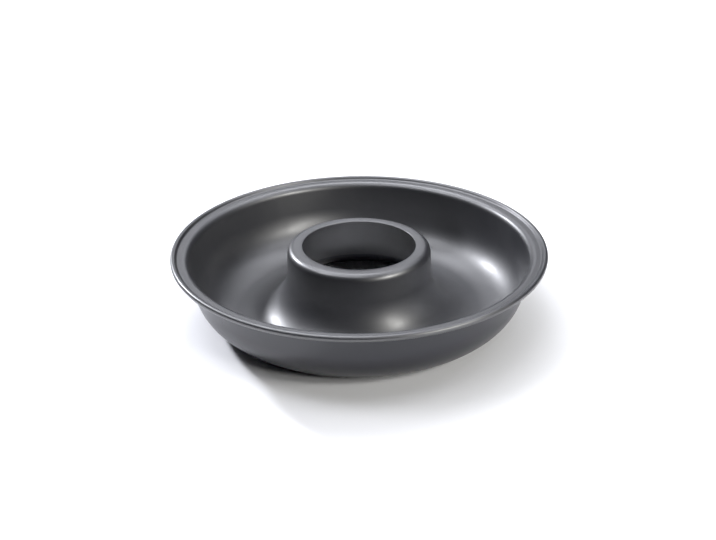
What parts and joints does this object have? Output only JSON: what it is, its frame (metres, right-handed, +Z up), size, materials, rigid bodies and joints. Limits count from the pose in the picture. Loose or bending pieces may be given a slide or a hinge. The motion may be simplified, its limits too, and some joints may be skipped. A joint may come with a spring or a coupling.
{
  "type": "savarin mould",
  "caption": "Round ring-shaped baking mould with a half-round channel, an open chimney in the middle, a flat flange and a wired rolled rim; dark non-stick coated steel.",
  "frame": {"origin": "on the mould's axis, level with the flat ring that it stands on", "axes": "+Z up along the axis of the ring, X and Y level"},
  "size_m": [0.26, 0.26, 0.05],
  "materials": {
    "coated_steel": "satin dark grey non-stick coating on drawn steel sheet",
    "steel_wire": "drawn bright steel wire"
  },
  "bodies": {
    "root": {"mould_body": "coated_steel", "rim_wire": "steel_wire"}
  },
  "joints": []
}
